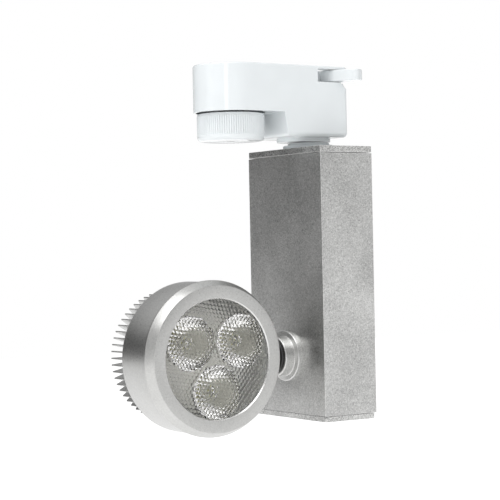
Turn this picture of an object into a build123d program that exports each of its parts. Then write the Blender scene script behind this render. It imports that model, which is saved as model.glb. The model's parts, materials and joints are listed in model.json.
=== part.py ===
from build123d import *
from math import cos, pi, radians, sin, sqrt
import os

# Track spotlight, in millimetres. Z is up and z = 0 is the adapter's face against the track.
# X runs along the track, from the contact knob towards the locking lever, with its origin at the
# middle of the adapter. At rest the lamp aims along -Y, and hangs on the -X side of the driver case.

GAP = 0.3  # free space between pieces that move past each other
FIT = 0.06  # radial clearance of a shaft that turns or slides in its hole

# Adapter moulding
ADAPTER_LENGTH = 67.2
ADAPTER_WIDTH = 31.8
SHALLOW_DEPTH = 20.3  # over the contact knob
DEEP_DEPTH = 30.7  # over the swivel
STEP_TOP_X = -0.45  # the sloping face between the two depths
STEP_BOTTOM_X = 1.45
WALL = 2.0
CORNER_R = 2.6
BOTTOM_EDGE_R = 1.9
TOP_EDGE_R = 0.8
COVER_THICKNESS = 1.3
COVER_RIM = 1.2  # width of the moulding's rim round the cover
FLOOR_THICKNESS = 2.2
END_X = ADAPTER_LENGTH / 2
HALF_WIDTH = ADAPTER_WIDTH / 2

# Contact head: pushed up into the track, then turned
KNOB_X = -END_X + HALF_WIDTH
KNOB_R = 14.5
KNOB_TOP = -20.85
KNOB_BOTTOM = -32.5
KNOB_WALL = 1.8
KNOB_RIBS = 90
RIB_DEPTH = 0.32
WELL_R = 12.3
WELL_DEPTH = 9.2
WELL_WALL = 1.4
DECK_THICKNESS = 2.0
SKIRT_R = KNOB_R + 0.35
TURRET_R = 7.2
BLADE_REACH = 11.5
SPINDLE_R = 4.0
SLEEVE_R = 6.0
SLEEVE_FLANGE_R = 11.6
KNOB_SCREW_R = 1.5
KNOB_SCREW_HEAD_R = 2.8

# Locking lever and the T-shaped lock that it turns and lifts
PIVOT_X = 20.85
LEVER_ANGLE = -61.2  # direction of the arm at rest, from +X
LEVER_REACH = 27.4
LEVER_WIDTH = 7.0
LEVER_TOP = -1.6
LEVER_BOTTOM = -6.5
HUB_R = 10.3
SPIGOT_R = 5.2
SLOT_BOTTOM = -6.9
BEARING_THICKNESS = 2.0
SLOT_SCOOP_R = 4.4  # rounds the slot's lower lip away at the corner
POCKET_R = 10.65
LOCK_HALF_LENGTH = 10.1
LOCK_WIDTH = 6.0
LOCK_THICKNESS = 2.0
LOCK_DROP = 2.1  # how far the lock sinks below the face when the lever is fully back
LOCK_SHAFT_R = 2.5
LOCK_PIN_R = 1.0

# Swivel under the deep end
SWIVEL_X = 22.85
BOSS_R = 9.6
BOSS_OFFSET = 5.3
BOSS_DROP = 1.6
NIPPLE_R = 5.0
NIPPLE_BORE_R = 3.4
NECK_R = 9.15
FLANGE_R = 11.3
FLANGE_TOP = -33.6

# Driver case
CASE_X = 27.2
CASE_Y = 55.4
CASE_TOP = -35.2
CASE_BOTTOM = -152.7
CASE_WALL = 1.6
TOP_CAP = 2.8
BOTTOM_CAP = 2.2
BOTTOM_CAP_INSET = 0.45
CAP_LIP_DEPTH = 2.5
CAP_CORNER_R = 0.5
SEAM = 0.25  # shadow line between a cap and the extrusion
SCREW_PORT_R = 2.6
FACE_X = SWIVEL_X - CASE_X / 2  # the wide face that carries the lamp

# Tilt pivot on the wide face
TILT_Z = -125.5
PIVOT_FLANGE_R = 11.0
PIVOT_FLANGE_T = 1.7
PIVOT_BARREL_R = 8.6
PIVOT_BARREL_T = 5.0
TILT_NIPPLE_R = 3.0
TILT_BORE_R = 1.5

# Lamp head; its axis is parallel to Y
LAMP_X = FACE_X - 43.85
LAMP_Z = -124.2
FRONT_Y = -13.6
RING_OPENING_R = 25.1
OPENING_CHAMFER = 0.5
RING_FRONT_R = 30.8
RING_R = 32.9
BEVEL_DEPTH = 4.45
RING_DEPTH = 5.6
BARREL_R = 32.2
BARREL_END_Y = 11.6
SEAM_TURN = 47  # keeps the start of each turned surface away from the side hole
CAVITY_R = 27.0
CAVITY_END_Y = 2.4
FIN_R = 28.2
FIN_LENGTH = 16.7
FIN_COUNT = 60
FIN_THICKNESS = 0.9
FIN_CORE_R = 12.0
LENS_RECESS = 0.8
LENS_R = 26.2
LENS_T = 1.8
OPTIC_FRONT_R = 11.35
OPTIC_BACK_R = 4.6
OPTIC_DEPTH = 9.2
OPTIC_CIRCLE_R = 14.0
OPTIC_ANGLES = (30, 150, 270)
BOARD_R = 24.5
BOARD_T = 1.6
BOARD_SCREW_R = 1.0
PAD_T = 0.5
EMITTER_HALF = 1.75
EMITTER_BASE_T = 0.7
EMITTER_DOME_R = 1.3

os.makedirs("parts", exist_ok=True)


def save(name, *solids):
    """Writes one node, which may be a group of separate solids."""
    shape = solids[0] if len(solids) == 1 else Compound(children=list(solids))
    export_step(shape, f"parts/{name}.step")


def post(x, y, z_low, z_high, r):
    """A vertical cylinder between two heights."""
    return Pos(x, y, (z_low + z_high) / 2) * Cylinder(r, z_high - z_low)


def block(low, high):
    """A box between two corners."""
    size = [b - a for a, b in zip(low, high)]
    middle = [(a + b) / 2 for a, b in zip(low, high)]
    return Pos(*middle) * Box(*size)


def along_x(r, x_low, x_high, y, z):
    """A cylinder along X."""
    return Pos((x_low + x_high) / 2, y, z) * Rot(0, 90, 0) * Cylinder(r, x_high - x_low)


def lamp_disc(r, y_front, y_back, x=LAMP_X, z=LAMP_Z):
    """A cylinder along the lamp's axis."""
    return Pos(x, (y_front + y_back) / 2, z) * Rot(90, 0, 0) * Cylinder(r, y_back - y_front)


def lamp_turned(points):
    """Turns an outline of (radius, y) points about the lamp's axis."""
    outline = make_face(Polyline([(r, y, 0) for r, y in points], close=True))
    turned = revolve(outline, Axis.Y, 360)
    return Pos(LAMP_X, 0, LAMP_Z) * Rot(0, SEAM_TURN, 0) * turned


def hexagon(flats, z_low, z_high):
    """A hexagon bar on the Z axis."""
    outline = RegularPolygon(flats / 2, 6, major_radius=False)
    return Pos(0, 0, z_low) * extrude(outline, z_high - z_low)


def countersunk_screw(r, head_r, length):
    """A screw that points down from z = 0, with a cross recess in its flat head."""
    head_depth = head_r - r
    head = Pos(0, 0, -head_depth / 2) * Cone(r, head_r, head_depth)
    shank = Pos(0, 0, -(length + head_depth) / 2) * Cylinder(r, length - head_depth)
    recess = Box(head_r * 1.2, 0.5, 1.0) + Box(0.5, head_r * 1.2, 1.0)
    return head + shank - recess


def screw_hole(r, head_r, length):
    """The hole for a countersunk screw, open at z = 0."""
    head_depth = head_r - r
    head = Pos(0, 0, -head_depth / 2) * Cone(r, head_r, head_depth)
    return head + Pos(0, 0, -length / 2) * Cylinder(r, length)


def pan_screw(r, head_r, head_h, length):
    """A screw that points down from the seat at z = 0, with its head above."""
    head = Pos(0, 0, head_h / 2) * Cylinder(head_r, head_h)
    head = fillet(head.edges().group_by(Axis.Z)[-1], head_h * 0.45)
    recess = Pos(0, 0, head_h) * (Box(head_r * 1.1, 0.5, 1.0) + Box(0.5, head_r * 1.1, 1.0))
    return head - recess + Pos(0, 0, -length / 2) * Cylinder(r, length)


def adapter_outline(offset):
    """The adapter's plan, drawn in by an offset: round at the knob, square at the lever."""
    r = HALF_WIDTH - offset
    corner = max(CORNER_R - offset, 0.6)
    body_length = END_X - offset - KNOB_X
    square = Pos(KNOB_X + body_length / 2, 0) * Rectangle(body_length, 2 * r)
    end_corners = square.vertices().group_by(Axis.X)[-1]
    return Pos(KNOB_X, 0) * Circle(r) + fillet(end_corners, corner)


# ---------------------------------------------------------------- adapter

COVER_SCREWS = ((-1.9, 11.6), (-1.9, -11.6), (28.2, 11.0))
COVER_SCREW_R = 1.1
COVER_SCREW_HEAD_R = 2.0
COVER_SCREW_LENGTH = 8.0
COVER_POST_R = 2.5
COVER_POST_DEPTH = 12.0
KEY_WIDTH = 2.4
KEY_DEPTH = 1.2


def adapter_housing():
    """The white moulding: shallow over the knob, deep over the swivel."""
    outer = Pos(0, 0, -DEEP_DEPTH) * extrude(adapter_outline(0), DEEP_DEPTH)
    step = Polyline(
        (-END_X - 5, -SHALLOW_DEPTH),
        (STEP_TOP_X, -SHALLOW_DEPTH),
        (STEP_BOTTOM_X, -DEEP_DEPTH),
        (STEP_BOTTOM_X, -DEEP_DEPTH - 5),
        (-END_X - 5, -DEEP_DEPTH - 5),
        close=True,
    )
    outer -= extrude(Plane.XZ * make_face(step), ADAPTER_WIDTH, both=True)
    outer = fillet(outer.edges().group_by(Axis.Z)[0], BOTTOM_EDGE_R)
    outer = fillet(outer.edges().group_by(Axis.Z)[-1], TOP_EDGE_R)

    boss = Pos(SWIVEL_X - BOSS_OFFSET / 2, 0, -DEEP_DEPTH - BOSS_DROP) * extrude(
        SlotCenterToCenter(BOSS_OFFSET, 2 * BOSS_R), BOSS_DROP + 0.5
    )
    solid = outer + boss

    # Rebate for the cover, then the two rooms under it
    solid -= Pos(0, 0, -COVER_THICKNESS) * extrude(adapter_outline(COVER_RIM), 5)
    bearing_top = SLOT_BOTTOM
    bearing_bottom = bearing_top - BEARING_THICKNESS
    room = adapter_outline(WALL)
    right_of_well = Pos(END_X, 0) * Rectangle(2 * (END_X + 1.0), ADAPTER_WIDTH)
    upper_room = extrude(room & right_of_well, -bearing_top)
    upper_room = Pos(0, 0, bearing_top) * upper_room
    middle = extrude(room & right_of_well, SHALLOW_DEPTH - WALL + bearing_bottom)
    middle = Pos(0, 0, -SHALLOW_DEPTH + WALL) * middle
    past_step = Pos(END_X + STEP_BOTTOM_X + WALL, 0) * Rectangle(2 * END_X, ADAPTER_WIDTH)
    floor_z = -DEEP_DEPTH + FLOOR_THICKNESS
    lower = extrude(room & past_step, -floor_z + bearing_bottom)
    lower = Pos(0, 0, floor_z) * lower
    solid -= upper_room + middle + lower

    # Contact well, deck and skirt round the knob
    deck_bottom = -WELL_DEPTH - DECK_THICKNESS
    solid += post(KNOB_X, 0, -WELL_DEPTH, -COVER_THICKNESS, WELL_R + WELL_WALL) & outer
    solid -= post(KNOB_X, 0, -WELL_DEPTH, 1, WELL_R)
    solid -= post(KNOB_X, 0, -SHALLOW_DEPTH - 1, deck_bottom, SKIRT_R)
    sleeve_hole = post(KNOB_X, 0, deck_bottom - 1, -WELL_DEPTH + 1, SLEEVE_R + FIT)
    key_reach = SLEEVE_R + KEY_DEPTH + GAP
    keys = block(
        (KNOB_X - KEY_WIDTH / 2 - GAP, -key_reach, deck_bottom - 1),
        (KNOB_X + KEY_WIDTH / 2 + GAP, key_reach, -WELL_DEPTH + 1),
    )
    solid -= sleeve_hole + keys

    # Posts for the cover screws, pilot holes included
    for x, y in COVER_SCREWS:
        solid += post(x, y, -COVER_POST_DEPTH, -COVER_THICKNESS, COVER_POST_R) & outer
        solid -= post(x, y, -COVER_SCREW_LENGTH - 1, 0, COVER_SCREW_R)

    # Lever slot, open at the front and round the corner into the end wall, its lip scooped at the corner
    slot_left = PIVOT_X - LEVER_WIDTH / 2 - 0.1
    solid -= block((slot_left, -HALF_WIDTH - 1, SLOT_BOTTOM), (END_X + 1, 0, -COVER_THICKNESS))
    solid -= block((PIVOT_X, -1, SLOT_BOTTOM), (END_X + 1, LEVER_WIDTH / 2 + 1.0, -COVER_THICKNESS))
    scoop = Pos(END_X, -HALF_WIDTH, SLOT_BOTTOM + 1.6) * Sphere(SLOT_SCOOP_R)
    solid -= scoop

    # Bearing for the lever's spigot, and the swivel's hole in the floor
    solid -= post(PIVOT_X, 0, bearing_bottom - 1, bearing_top + 1, SPIGOT_R + FIT)
    solid -= post(SWIVEL_X, 0, -DEEP_DEPTH - BOSS_DROP - 1, floor_z + 1, NIPPLE_R + FIT)
    return solid


def adapter_cover():
    """Inset plate on top, with a round window for the contacts and one for the lock."""
    plate = extrude(adapter_outline(COVER_RIM + 0.1), COVER_THICKNESS)
    plate = Pos(0, 0, -COVER_THICKNESS) * plate
    plate -= post(KNOB_X, 0, -5, 1, WELL_R)
    plate -= post(PIVOT_X, 0, -5, 1, POCKET_R)
    for x, y in COVER_SCREWS:
        plate -= Pos(x, y, 0) * screw_hole(COVER_SCREW_R, COVER_SCREW_HEAD_R, 5)
    return plate


def cover_screws():
    """Three countersunk screws that hold the cover."""
    screw = countersunk_screw(COVER_SCREW_R, COVER_SCREW_HEAD_R, COVER_SCREW_LENGTH)
    return [Pos(x, y, 0) * screw for x, y in COVER_SCREWS]


TERMINAL_X = 9.0
TERMINAL_SIZE = (8.0, 20.0, 9.0)
TERMINAL_Y = (-5.0, 5.0)
TERMINAL_FLOOR = -DEEP_DEPTH + FLOOR_THICKNESS


def terminal_block():
    """Two-way screw connector on the floor of the adapter."""
    sx, sy, sz = TERMINAL_SIZE
    body = block(
        (TERMINAL_X - sx / 2, -sy / 2, TERMINAL_FLOOR),
        (TERMINAL_X + sx / 2, sy / 2, TERMINAL_FLOOR + sz),
    )
    top = TERMINAL_FLOOR + sz
    for y in TERMINAL_Y:
        body -= post(TERMINAL_X, y, top - 5, top + 1, 2.2)
        body -= along_x(1.6, TERMINAL_X - sx, TERMINAL_X + sx, y, TERMINAL_FLOOR + 3)
    return body


def terminal_screws():
    """The two clamp screws of the connector."""
    top = TERMINAL_FLOOR + TERMINAL_SIZE[2]
    screws = []
    for y in TERMINAL_Y:
        screw = post(TERMINAL_X, y, top - 4.2, top - 0.8, 2.1)
        screw -= block((TERMINAL_X - 3, y - 0.35, top - 1.6), (TERMINAL_X + 3, y + 0.35, top))
        screws.append(screw)
    return screws


def terminal_tails():
    """Two brass strips from the connector up beside the contact well."""
    strips = []
    for y in TERMINAL_Y:
        foot = block((1.0, y - 1.5, -17.9), (6.0, y + 1.5, -17.3))
        riser = block((0.4, y - 1.5, -17.9), (1.0, y + 1.5, -10.0))
        strips.append(foot + riser)
    return strips


# ---------------------------------------------------------------- contact head

SLEEVE_TOP = -WELL_DEPTH - 0.2
SLEEVE_BOTTOM = KNOB_BOTTOM + KNOB_WALL + 0.3
SLEEVE_FLANGE_T = 1.2
SPRING_TOP = -WELL_DEPTH - DECK_THICKNESS
SPRING_R = 9.2
SPRING_WIRE_R = 0.5
SPRING_PITCH = 3.4


def guide_sleeve():
    """Keyed sleeve that slides up through the deck without turning; the spindle turns in it."""
    sleeve = post(KNOB_X, 0, SLEEVE_BOTTOM, SLEEVE_TOP, SLEEVE_R)
    sleeve += post(KNOB_X, 0, SLEEVE_BOTTOM, SLEEVE_BOTTOM + SLEEVE_FLANGE_T, SLEEVE_FLANGE_R)
    reach = SLEEVE_R + KEY_DEPTH
    keys = block(
        (KNOB_X - KEY_WIDTH / 2, -reach, SLEEVE_BOTTOM),
        (KNOB_X + KEY_WIDTH / 2, reach, SLEEVE_TOP),
    )
    return sleeve + keys - post(KNOB_X, 0, SLEEVE_BOTTOM - 1, SLEEVE_TOP + 1, SPINDLE_R + FIT)


def return_spring():
    """Coil spring that pushes the contact head back down out of the track."""
    low = SLEEVE_BOTTOM + SLEEVE_FLANGE_T + SPRING_WIRE_R + 0.05
    high = SPRING_TOP - SPRING_WIRE_R - 0.05
    coil = Helix(SPRING_PITCH, high - low, SPRING_R)
    start = Plane(origin=coil @ 0, z_dir=coil % 0)
    wire = sweep(start * Circle(SPRING_WIRE_R), path=coil)
    return Pos(KNOB_X, 0, low) * wire


def ribbed_band(r, z_low, z_high, count, depth):
    """A ring of fine upright ribs: a regular V-grooved outline, extruded."""
    points = []
    for i in range(count):
        for share, radius in ((0.0, r), (0.55, r), (0.775, r - depth)):
            angle = 2 * pi * (i + share) / count
            points.append((radius * cos(angle), radius * sin(angle)))
    band = extrude(make_face(Polyline(points, close=True)), z_high - z_low)
    return Pos(KNOB_X, 0, z_low) * band


def ring_knob():
    """Round ribbed knob, hollow from above, that pushes and turns the contacts."""
    rib_top = KNOB_TOP - 0.9
    rib_bottom = KNOB_BOTTOM + 2.2
    smooth_r = KNOB_R - 0.12
    lip = post(KNOB_X, 0, rib_top, KNOB_TOP, smooth_r)
    foot = post(KNOB_X, 0, KNOB_BOTTOM, rib_bottom, smooth_r)
    foot = fillet(foot.edges().group_by(Axis.Z)[0], 1.5)
    knob = lip + ribbed_band(KNOB_R, rib_bottom, rib_top, KNOB_RIBS, RIB_DEPTH) + foot
    knob -= post(KNOB_X, 0, KNOB_BOTTOM + KNOB_WALL, KNOB_TOP + 1, KNOB_R - KNOB_WALL)
    from_below = Pos(KNOB_X, 0, KNOB_BOTTOM) * Rot(180, 0, 0)
    return knob - from_below * screw_hole(KNOB_SCREW_R, KNOB_SCREW_HEAD_R, 5)


def contact_turret():
    """Turning head with its spindle; slots on both sides hold the contact blades."""
    turret = post(KNOB_X, 0, -WELL_DEPTH + 0.2, 0, TURRET_R)
    turret = fillet(turret.edges().group_by(Axis.Z)[-1], 0.6)
    turret += post(KNOB_X, 0, KNOB_BOTTOM + KNOB_WALL, -WELL_DEPTH + 0.3, SPINDLE_R)
    for blade in contact_blades():
        turret -= blade
    return turret - post(KNOB_X, 0, KNOB_BOTTOM + KNOB_WALL - 1, KNOB_BOTTOM + 11, KNOB_SCREW_R)


def contact_blades():
    """Two brass blades that reach out sideways to the track's conductors."""
    blades = []
    for side in (-1, 1):
        inner = KNOB_X + side * 3.0
        outer = KNOB_X + side * BLADE_REACH
        flat = block((min(inner, outer), -2.3, -3.9), (max(inner, outer), 2.3, -2.7))
        ears = flat.edges().filter_by(Axis.Z).group_by(Axis.X)[-1 if side > 0 else 0]
        blades.append(fillet(ears, 1.4))
    return blades


def knob_screw():
    """Screw that holds the knob on the spindle, from below."""
    screw = countersunk_screw(KNOB_SCREW_R, KNOB_SCREW_HEAD_R, 10)
    return Pos(KNOB_X, 0, KNOB_BOTTOM) * Rot(180, 0, 0) * screw


# ---------------------------------------------------------------- lever and lock

GROOVE_FLOOR = -LOCK_THICKNESS - LOCK_DROP - 0.2
GROOVE_WIDTH = LOCK_WIDTH + 2 * 0.15
LOCK_ANGLE = LEVER_ANGLE + 90
SPIGOT_BOTTOM = -10.6
SHAFT_BOTTOM = -18.2
LOCK_PIN_Z = SHAFT_BOTTOM + 1.9
CLIP_TOP = SLOT_BOTTOM - BEARING_THICKNESS - GAP
CLIP_T = 0.8
CLIP_FLOOR_R = SPIGOT_R - 0.7
ARM_CORNER_R = 2.2
LEVER_EDGE_R = 0.45


def at_pivot(shape, angle=0):
    """Places a shape on the lever's pivot, turned to an angle from +X."""
    return Pos(PIVOT_X, 0, 0) * Rot(0, 0, angle) * shape


def lock_lever():
    """Flat lever: round hub, straight arm, and a spigot that turns in the adapter."""
    thickness = LEVER_TOP - LEVER_BOTTOM
    arm = Pos(LEVER_REACH / 2, 0) * RectangleRounded(LEVER_REACH, LEVER_WIDTH, ARM_CORNER_R)
    plan = Circle(HUB_R) + arm
    lever = Pos(0, 0, LEVER_BOTTOM) * extrude(plan, thickness)
    lever = fillet(lever.edges().group_by(Axis.Z)[-1], LEVER_EDGE_R)
    lever = fillet(lever.edges().group_by(Axis.Z)[0], LEVER_EDGE_R)
    lever += post(0, 0, SPIGOT_BOTTOM, LEVER_BOTTOM, SPIGOT_R)
    groove_x = GROOVE_WIDTH / 2
    lever -= block((-groove_x, -HUB_R - 1, GROOVE_FLOOR), (groove_x, HUB_R + 1, 1))
    lever -= Pos(0, 0, -8) * Cylinder(LOCK_SHAFT_R + FIT, 20)
    ring_groove = Cylinder(SPIGOT_R + 1, CLIP_T) - Cylinder(CLIP_FLOOR_R, CLIP_T)
    lever -= Pos(0, 0, CLIP_TOP - CLIP_T / 2) * ring_groove
    return at_pivot(lever, LEVER_ANGLE)


def lever_clip():
    """Open retaining ring in the spigot's groove."""
    ring = Cylinder(SPIGOT_R + 1.6, CLIP_T) - Cylinder(CLIP_FLOOR_R, CLIP_T)
    mouth = Pos(SPIGOT_R, 0, 0) * Box(2 * SPIGOT_R, 5.0, 2)
    return at_pivot(Pos(0, 0, CLIP_TOP - CLIP_T / 2) * (ring - mouth), LEVER_ANGLE)


def lock_bolt():
    """T-shaped steel lock: a flat blade across the top of a round shaft."""
    blade = Pos(0, 0, -LOCK_THICKNESS / 2) * Box(2 * LOCK_HALF_LENGTH, LOCK_WIDTH, LOCK_THICKNESS)
    blade = fillet(blade.edges().filter_by(Axis.Z), 1.2)
    shaft = post(0, 0, SHAFT_BOTTOM, -LOCK_THICKNESS, LOCK_SHAFT_R)
    pin_hole = along_x(LOCK_PIN_R, -5, 5, 0, LOCK_PIN_Z)
    return at_pivot(blade + shaft - pin_hole, LOCK_ANGLE)


def lock_pin():
    """Cross pin low on the lock's shaft, which follows the lifting ramp."""
    return at_pivot(along_x(LOCK_PIN_R, -5.5, 5.5, 0, LOCK_PIN_Z), LOCK_ANGLE)


# ---------------------------------------------------------------- swivel

NIPPLE_TOP = -22.6
NIPPLE_BOTTOM = -45.0
NUT_FLATS = 14.0
WASHER_R = 8.0
UPPER_NUT = (-27.6, -24.0)
WASHER = (-28.2, -27.6)
INNER_TOP = CASE_TOP - TOP_CAP
LOWER_WASHER = (INNER_TOP - 0.8, INNER_TOP)
LOWER_NUT = (INNER_TOP - 4.8, INNER_TOP - 0.8)


def at_swivel(shape):
    """Places a shape on the swivel's axis."""
    return Pos(SWIVEL_X, 0, 0) * shape


def swivel_collar():
    """White neck and flange between the adapter and the driver case."""
    neck_top = -DEEP_DEPTH - BOSS_DROP - GAP
    collar = post(0, 0, FLANGE_TOP, neck_top, NECK_R) + post(0, 0, CASE_TOP, FLANGE_TOP, FLANGE_R)
    collar = fillet(collar.edges().filter_by(GeomType.CIRCLE).group_by(Axis.Z)[1], 0.4)
    return at_swivel(collar - post(0, 0, CASE_TOP - 1, neck_top + 1, NIPPLE_R + FIT))


def swivel_nipple():
    """Hollow threaded tube that the leads pass through."""
    tube = post(0, 0, NIPPLE_BOTTOM, NIPPLE_TOP, NIPPLE_R)
    return at_swivel(tube - post(0, 0, NIPPLE_BOTTOM - 1, NIPPLE_TOP + 1, NIPPLE_BORE_R))


def swivel_washers():
    """Plain washers under the upper and the lower nut."""
    washers = []
    for low, high in (WASHER, LOWER_WASHER):
        washers.append(at_swivel(post(0, 0, low, high, WASHER_R) - post(0, 0, low - 1, high + 1, NIPPLE_R)))
    return washers


def swivel_nuts():
    """Hexagon nuts that clamp the swivel, above and below."""
    nuts = []
    for low, high in (UPPER_NUT, LOWER_NUT):
        nuts.append(at_swivel(hexagon(NUT_FLATS, low, high) - post(0, 0, low - 1, high + 1, NIPPLE_R)))
    return nuts


# ---------------------------------------------------------------- driver case

CAP_SCREW_X = CASE_X / 2 - 3.6
CAP_SCREW_Y = CASE_Y / 2 - 3.6
CAP_SCREW_R = 1.25
CAP_SCREW_HEAD_R = 2.4
CAP_SCREW_LENGTH = 9.0
CASE_HIGH = CASE_TOP - TOP_CAP
CASE_LOW = CASE_BOTTOM + BOTTOM_CAP


def case_corners():
    """Places of the four screw ports."""
    return [(sx * CAP_SCREW_X, sy * CAP_SCREW_Y) for sx in (-1, 1) for sy in (-1, 1)]


def driver_case():
    """Aluminium extrusion, open at both ends, with a screw port in each corner."""
    outline = Rectangle(CASE_X, CASE_Y)
    outline -= Rectangle(CASE_X - 2 * CASE_WALL, CASE_Y - 2 * CASE_WALL)
    for x, y in case_corners():
        outline += Pos(x, y) * Circle(SCREW_PORT_R)
        outline -= Pos(x, y) * Circle(CAP_SCREW_R)
    case = Pos(0, 0, CASE_LOW + SEAM) * extrude(outline, CASE_HIGH - CASE_LOW - 2 * SEAM)
    bore = along_x(TILT_NIPPLE_R + FIT, -CASE_X / 2 - 1, -CASE_X / 2 + CASE_WALL + 1, 0, TILT_Z)
    return at_swivel(case - bore)


def end_plate(z_low, z_high, inset, lip_high, lip_low):
    """A cap: its plate, and a lip that plugs the extrusion between the screw ports."""
    plate = RectangleRounded(CASE_X - 2 * inset, CASE_Y - 2 * inset, CAP_CORNER_R + inset)
    cap = Pos(0, 0, z_low) * extrude(plate, z_high - z_low)
    lip_x = CASE_X - 2 * CASE_WALL - 0.3
    lip_y = CASE_Y - 2 * CASE_WALL - 0.3
    lip = Rectangle(lip_x, lip_y) - Rectangle(lip_x - 3, lip_y - 3)
    for x, y in case_corners():
        lip -= Pos(x, y) * Rectangle(2 * SCREW_PORT_R + 7, 2 * SCREW_PORT_R + 7)
    return cap + Pos(0, 0, lip_low) * extrude(lip, lip_high - lip_low)


def top_cap():
    """Upper end plate with the swivel's hole."""
    cap = end_plate(CASE_HIGH, CASE_TOP, 0.0, CASE_HIGH, CASE_HIGH - CAP_LIP_DEPTH)
    cap -= post(0, 0, CASE_HIGH - 5, CASE_TOP + 1, NIPPLE_R + FIT)
    for x, y in case_corners():
        cap -= Pos(x, y, CASE_TOP) * screw_hole(CAP_SCREW_R, CAP_SCREW_HEAD_R, 5)
    return at_swivel(cap)


def bottom_cap():
    """Lower end plate, drawn in a little from the case's sides."""
    cap = end_plate(CASE_BOTTOM, CASE_LOW, BOTTOM_CAP_INSET, CASE_LOW + CAP_LIP_DEPTH, CASE_LOW)
    for x, y in case_corners():
        cap -= Pos(x, y, CASE_BOTTOM) * Rot(180, 0, 0) * screw_hole(CAP_SCREW_R, CAP_SCREW_HEAD_R, 5)
    return at_swivel(cap)


def cap_screws(z, flip):
    """Four countersunk screws in one end plate."""
    screw = Rot(flip, 0, 0) * countersunk_screw(CAP_SCREW_R, CAP_SCREW_HEAD_R, CAP_SCREW_LENGTH)
    return [at_swivel(Pos(x, y, z) * screw) for x, y in case_corners()]


# Driver electronics, on a board beside the back wide face
BOARD_X = 6.4  # from the swivel's axis to the board's component side
DRIVER_BOARD_T = 1.6
DRIVER_BOARD_Y = 19.0
DRIVER_BOARD_Z = (-112.0, -50.0)
STANDOFF_Y = 15.5
STANDOFF_Z = (-107.0, -55.0)
STANDOFF_R = 2.4
STANDOFF_CLIP_R = 1.2
INSULATOR_T = 0.4
INNER_WALL_X = CASE_X / 2 - CASE_WALL


def driver_board():
    """Circuit board with holes for its four standoffs."""
    low, high = DRIVER_BOARD_Z
    board = block((BOARD_X, -DRIVER_BOARD_Y, low), (BOARD_X + DRIVER_BOARD_T, DRIVER_BOARD_Y, high))
    for y in (-STANDOFF_Y, STANDOFF_Y):
        for z in STANDOFF_Z:
            board -= along_x(STANDOFF_CLIP_R, BOARD_X - 1, BOARD_X + 3, y, z)
    return at_swivel(board)


def board_standoffs():
    """Four plastic standoffs between the board and the insulating sheet."""
    back = INNER_WALL_X - INSULATOR_T
    posts = []
    for y in (-STANDOFF_Y, STANDOFF_Y):
        for z in STANDOFF_Z:
            foot = along_x(STANDOFF_R, BOARD_X + DRIVER_BOARD_T, back, y, z)
            clip = along_x(STANDOFF_CLIP_R, BOARD_X - 0.6, BOARD_X + DRIVER_BOARD_T, y, z)
            posts.append(at_swivel(foot + clip))
    return posts


def insulator_sheet():
    """Thin sheet that keeps the board's solder side off the case."""
    sheet = block(
        (INNER_WALL_X - INSULATOR_T, -17.6, -116.0),
        (INNER_WALL_X, 17.6, -46.0),
    )
    return at_swivel(sheet)


def transformer():
    """Wound transformer: ferrite frame and taped coil."""
    front = BOARD_X - 14.0
    core = block((front + 2, -9.0, -90.0), (BOARD_X - 0.6, 9.0, -72.0))
    coil = block((front, -6.0, -92.0), (BOARD_X - 2.0, 6.0, -70.0))
    coil = fillet(coil.edges().filter_by(Axis.X), 2.0)
    base = block((BOARD_X - 0.6, -9.5, -92.5), (BOARD_X, 9.5, -69.5))
    return at_swivel(core + coil + base)


def capacitors():
    """Two electrolytic cans and one film capacitor."""
    cans = []
    for y, z, r, length in ((-11.0, -62.0, 5.0, 11.5), (11.0, -101.0, 4.0, 11.5)):
        can = along_x(r, BOARD_X - length, BOARD_X, y, z)
        cans.append(at_swivel(fillet(can.edges().filter_by(GeomType.CIRCLE).group_by(Axis.X)[0], 0.7)))
    film = block((BOARD_X - 10.0, 3.0, -64.5), (BOARD_X, 16.0, -59.0))
    cans.append(at_swivel(fillet(film.edges().filter_by(Axis.X), 0.8)))
    return cans


def driver_chips():
    """Bridge rectifier, controller and switching transistor."""
    bridge = block((BOARD_X - 2.6, -16.0, -104.0), (BOARD_X, -8.0, -97.0))
    controller = block((BOARD_X - 1.6, -4.0, -102.0), (BOARD_X, 2.0, -97.0))
    switch = block((BOARD_X - 4.4, 11.5, -90.0), (BOARD_X, 15.5, -80.0))
    return [at_swivel(chip) for chip in (bridge, controller, switch)]


# ---------------------------------------------------------------- tilt pivot

PIVOT_FACE_X = FACE_X - PIVOT_FLANGE_T - PIVOT_BARREL_T
WASHER_T = 1.2
STEM_SEAT_X = LAMP_X + BARREL_R - 1.9
STEM_R = 6.2
TILT_THREAD_END = LAMP_X + CAVITY_R + 0.8
TILT_INNER_END = FACE_X + CASE_WALL + 8.0
SPRING_WASHER_R = 6.0
SPRING_WASHER_T = 0.9


def pivot_boss():
    """Turned flange and short barrel on the case's wide face."""
    boss = along_x(PIVOT_FLANGE_R, FACE_X - PIVOT_FLANGE_T, FACE_X, 0, TILT_Z)
    boss = fillet(boss.edges().filter_by(GeomType.CIRCLE).group_by(Axis.X)[0], 0.5)
    barrel = along_x(PIVOT_BARREL_R, PIVOT_FACE_X, FACE_X - PIVOT_FLANGE_T, 0, TILT_Z)
    barrel = fillet(barrel.edges().filter_by(GeomType.CIRCLE).group_by(Axis.X)[0], 0.5)
    return boss + barrel - along_x(TILT_NIPPLE_R + FIT, PIVOT_FACE_X - 1, FACE_X + 1, 0, TILT_Z)


def friction_washer():
    """Dark washer that the lamp's stem turns against."""
    washer = along_x(7.4, PIVOT_FACE_X - WASHER_T, PIVOT_FACE_X - 0.1, 0, TILT_Z)
    return washer - along_x(TILT_NIPPLE_R, PIVOT_FACE_X - 5, FACE_X, 0, TILT_Z)


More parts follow.
